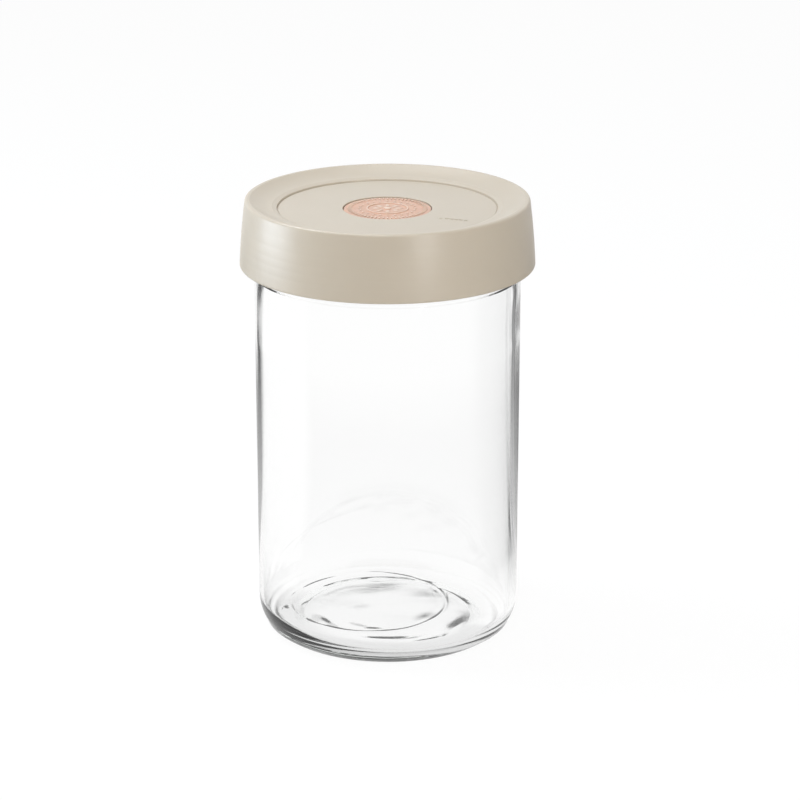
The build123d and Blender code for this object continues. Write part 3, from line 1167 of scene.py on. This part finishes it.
def floor_material(settings):
    """Pale painted board: the camera sees it white with a faint shadow. In the mirrors and thick edges of the
    glass it gets darker away from the jar, as a lit table does in a dark studio, which gives them their grey
    and black lines, and it has a painted shadow under the heel. Straight through the glass it has a painted
    shadow, a little darker, under the front of the foot."""
    material = bpy.data.materials.new("pale_painted_board")
    tree = new_tree(material)
    path = add_node(tree, "ShaderNodeLightPath").outputs
    place = add_node(tree, "ShaderNodeTexCoord").outputs["Object"]
    distance = add_node(tree, "ShaderNodeVectorMath", links={0: place}, operation="LENGTH").outputs["Value"]
    bearing = add_node(
        tree, "ShaderNodeTexGradient", links={"Vector": place}, gradient_type="RADIAL"
    ).outputs["Fac"]

    low = add_node(tree, "ShaderNodeValToRGB", links={"Fac": distance}, stops=DIM_BY_DISTANCE)
    high = add_node(tree, "ShaderNodeValToRGB", links={"Fac": distance}, stops=LIT_BY_DISTANCE)
    near = add_node(tree, "ShaderNodeValToRGB", links={"Fac": distance}, stops=NEAR_THE_JAR)
    under = add_node(tree, "ShaderNodeValToRGB", links={"Fac": distance}, stops=PAINTED_SHADOW_UNDER_THE_HEEL)
    right = add_node(tree, "ShaderNodeValToRGB", links={"Fac": bearing}, stops=DIM_BY_BEARING)
    sectors = add_node(tree, "ShaderNodeValToRGB", links={"Fac": bearing}, stops=LIT_BY_BEARING)
    bright = add_node(tree, "ShaderNodeValToRGB", links={"Fac": bearing}, stops=WHITE_BY_BEARING)
    sides = add_node(tree, "ShaderNodeMath", links={0: near, 1: right}, operation="MAXIMUM")
    dim = add_node(tree, "ShaderNodeMath", links={0: low, 1: sides}, operation="MULTIPLY")
    lit = add_node(tree, "ShaderNodeMath", links={0: high, 1: sectors}, operation="MULTIPLY")
    around = add_node(tree, "ShaderNodeMath", links={0: dim, 1: lit}, operation="MAXIMUM")
    around = add_node(tree, "ShaderNodeMath", links={0: around, 1: bright}, operation="MAXIMUM")
    # The painted shadow under the heel darkens the board in the glass's mirrors and thick edges
    falloff = add_node(tree, "ShaderNodeMath", links={0: around, 1: under}, operation="MULTIPLY")

    # Painted shadow of the jar on the board, seen straight through the glass: darker inside the foot and
    # under its front
    hollow = add_node(tree, "ShaderNodeValToRGB", links={"Fac": distance}, stops=PAINTED_SHADOW_INSIDE_THE_FOOT)
    foot = add_node(tree, "ShaderNodeValToRGB", links={"Fac": distance}, stops=PAINTED_SHADOW_UNDER_THE_FOOT)
    behind = add_node(tree, "ShaderNodeValToRGB", links={"Fac": bearing}, stops=UNSHADED_BUT_FOR_THE_FRONT)
    foot = add_node(tree, "ShaderNodeMath", links={0: foot, 1: behind}, operation="MAXIMUM")
    painted_foot_shadow = add_node(tree, "ShaderNodeMath", links={0: hollow, 1: foot}, operation="MULTIPLY")
    painted_foot_shadow = add_node(
        tree, "ShaderNodeMath", links={0: painted_foot_shadow, 1: path["Is Camera Ray"]}, operation="MAXIMUM"
    )
    plain = add_node(tree, "ShaderNodeMath", {1: BOARD_GLOW}, {0: painted_foot_shadow}, operation="MULTIPLY")

    mirrored = add_node(
        tree,
        "ShaderNodeMath",
        links={0: path["Is Glossy Ray"], 1: path["Is Transmission Ray"]},
        operation="MAXIMUM",
    )
    edge = add_node(
        tree, "ShaderNodeMath", {1: EDGE_DEPTH}, {0: path["Transmission Depth"]}, operation="LESS_THAN"
    )
    in_edge = add_node(tree, "ShaderNodeMath", links={0: mirrored, 1: edge}, operation="MULTIPLY")
    level = add_node(
        tree, "ShaderNodeMix", links={"Factor": in_edge, "A": plain, "B": falloff}, data_type="FLOAT"
    )
    seen = add_node(
        tree, "ShaderNodeMath", {1: CAMERA_GLOW_SHARE}, {0: path["Is Camera Ray"]}, operation="MULTIPLY"
    )
    share = add_node(tree, "ShaderNodeMath", links={0: seen, 1: mirrored}, operation="MAXIMUM")
    matt = add_node(tree, "ShaderNodeBsdfDiffuse", {"Color": linear(settings.floor_colour)})
    glow = add_node(tree, "ShaderNodeEmission", {"Color": (1, 1, 1, 1)}, {"Strength": level})
    mix = add_node(tree, "ShaderNodeMixShader", links={0: share, 1: matt, 2: glow})
    add_node(tree, "ShaderNodeOutputMaterial", links={"Surface": mix})
    return material


def studio_world(settings):
    """White for the camera and in the glass, and even soft light for the object."""
    world = bpy.data.worlds.new("studio")
    bpy.context.scene.world = world
    tree = new_tree(world)
    path = add_node(tree, "ShaderNodeLightPath").outputs
    shown = path["Is Glossy Ray"]
    for kind in ("Is Transmission Ray", "Is Camera Ray"):
        shown = add_node(tree, "ShaderNodeMath", links={0: shown, 1: path[kind]}, operation="MAXIMUM")
    even = add_node(tree, "ShaderNodeBackground", {"Color": (1, 1, 1, 1), "Strength": settings.ambient})
    plain = add_node(tree, "ShaderNodeBackground", {"Color": (1, 1, 1, 1), "Strength": 1.0})
    mix = add_node(tree, "ShaderNodeMixShader", links={0: shown, 1: even, 2: plain})
    add_node(tree, "ShaderNodeOutputWorld", links={"Surface": mix})


class JAR_OT_build_stage(Operator):
    """Builds the pale floor, the soft lamps, the white surround and the camera"""

    bl_idname = "jar.build_stage"
    bl_label = "Stage"

    def execute(self, context):
        settings = context.scene.jar_stage
        mesh = bmesh.new()
        bmesh.ops.create_circle(mesh, cap_ends=True, segments=96, radius=settings.floor_radius)
        board = to_object(mesh, "floor", floor_material(settings))
        studio_world(settings)
        area_lamp("key", *KEY_LAMP, settings.key_power, settings.key_colour)
        area_lamp("glint", *GLINT_LAMP, settings.glint_power, settings.key_colour)
        area_lamp("strip", *STRIP_LAMP, settings.strip_power)
        area_lamp("top", *TOP_LAMP, settings.top_power, settings.top_colour)
        area_lamp("front", *FRONT_LAMP, settings.front_power)
        self.add_camera(context, settings)
        context.scene.view_settings.view_transform = "Standard"
        return {"FINISHED"}

    @staticmethod
    def add_camera(context, settings):
        """Adds the camera where the photograph was taken."""
        pitch = settings.camera_pitch
        yaw = settings.camera_yaw
        forward = Vector((math.sin(yaw) * math.cos(pitch), math.cos(yaw) * math.cos(pitch), -math.sin(pitch)))
        data = bpy.data.cameras.new("camera")
        data.sensor_width = 36
        data.lens = settings.camera_lens
        data.dof.use_dof = False
        camera = bpy.data.objects.new("camera", data)
        camera.location = settings.camera_location
        camera.rotation_euler = forward.to_track_quat("-Z", "Y").to_euler()
        context.scene.collection.objects.link(camera)
        context.scene.camera = camera


# The add-on

OPERATORS = (JAR_OT_build_glass, JAR_OT_build_seal, JAR_OT_build_lid, JAR_OT_build_valve, JAR_OT_build_stage)
SETTINGS = {
    "jar_glass": GlassSettings,
    "jar_seal": SealSettings,
    "jar_lid": LidSettings,
    "jar_valve": ValveSettings,
    "jar_stage": StageSettings,
}


class JAR_PT_pieces(Panel):
    """Lists the jar's pieces and their sizes"""

    bl_idname = "JAR_PT_pieces"
    bl_label = "Pickling Jar"
    bl_space_type = "VIEW_3D"
    bl_region_type = "UI"
    bl_category = "Pickling Jar"

    def draw(self, context):
        for operator, (name, group) in zip(OPERATORS, SETTINGS.items()):
            box = self.layout.box()
            box.operator(operator.bl_idname)
            for field in group.__annotations__:
                box.prop(getattr(context.scene, name), field)


def register():
    for group in (*SETTINGS.values(), *OPERATORS, JAR_PT_pieces):
        bpy.utils.register_class(group)
    for name, group in SETTINGS.items():
        setattr(bpy.types.Scene, name, PointerProperty(type=group))


def unregister():
    for name in SETTINGS:
        delattr(bpy.types.Scene, name)
    for group in (JAR_PT_pieces, *reversed(OPERATORS), *reversed(SETTINGS.values())):
        bpy.utils.unregister_class(group)


def main():
    register()
    bpy.ops.jar.build_glass()
    bpy.ops.jar.build_seal()
    bpy.ops.jar.build_lid()
    bpy.ops.jar.build_valve()
    bpy.ops.jar.build_stage()


if __name__ == "__main__":
    main()
